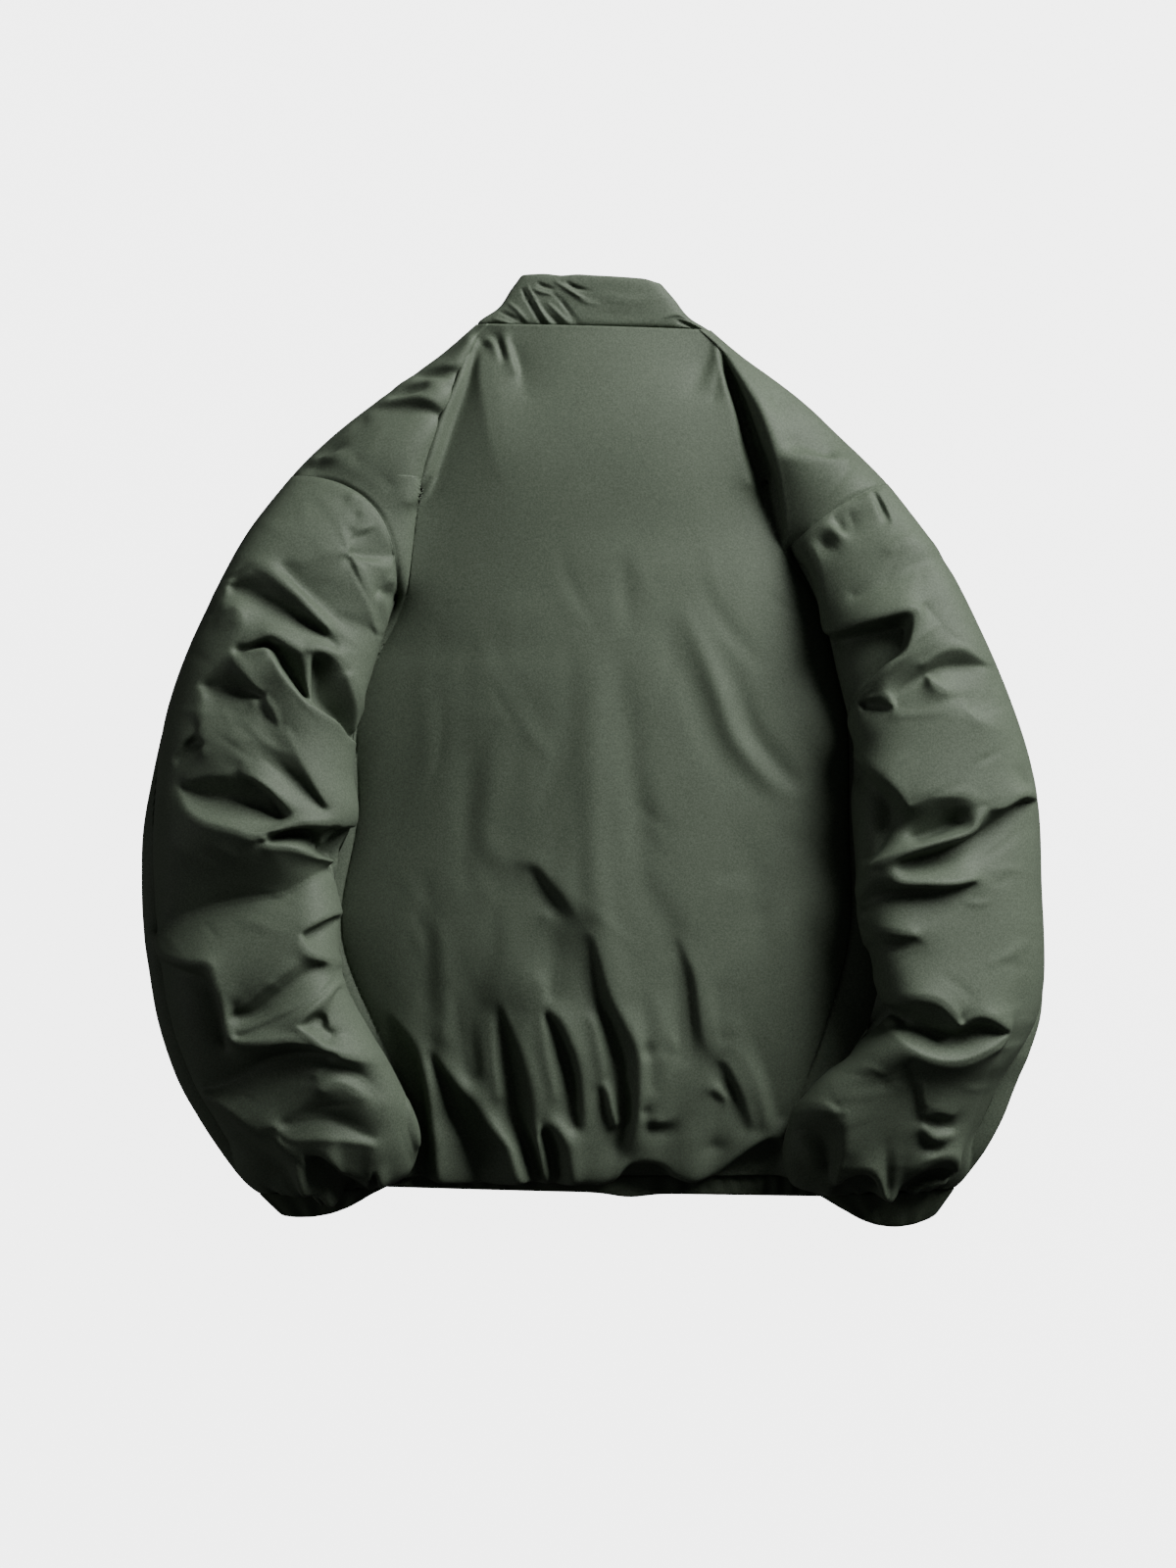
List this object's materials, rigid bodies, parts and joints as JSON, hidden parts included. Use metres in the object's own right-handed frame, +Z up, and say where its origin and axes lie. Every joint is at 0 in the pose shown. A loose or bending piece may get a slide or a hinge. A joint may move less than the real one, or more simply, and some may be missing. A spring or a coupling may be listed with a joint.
{
  "type": "down jacket",
  "caption": "Boxy down jacket laid flat on its front with the back panel up: puffy set-in sleeves folded in over the sides, stand collar, gathered hem and cuffs, closed front zip.",
  "frame": {"origin": "centre of the bounding box's base: on the surface the jacket lies on, midway between its sleeves and midway from collar to cuffs", "axes": "+Z up out of the surface, +Y from hem to collar, +X to the wearer's right as the jacket lies on its front"},
  "size_m": [0.7125, 0.7531, 0.1075],
  "materials": {
    "shell": "satin",
    "band": "satin",
    "tape": "matte",
    "zip_metal": "satin"
  },
  "bodies": {
    "jacket": {"back": "shell", "front_left": "shell", "front_right": "shell", "sleeve_back_left": "shell", "sleeve_back_right": "shell", "sleeve_front_left": "shell", "sleeve_front_right": "shell", "collar": "shell", "hem_band": "band", "cuff_left": "band", "cuff_right": "band", "zip_tape_left": "tape", "zip_tape_right": "tape", "zip_chain": "zip_metal", "zip_box": "zip_metal", "zip_slider": "zip_metal"},
    "pull": {"zip_pull": "zip_metal"}
  },
  "joints": [
    {"name": "pull_hinge", "type": "hinge", "parent": "jacket", "child": "pull", "pos_m": [0, 0.311, 0.0052], "axis": [1, 0, 0], "range_deg": [0, 170]}
  ]
}
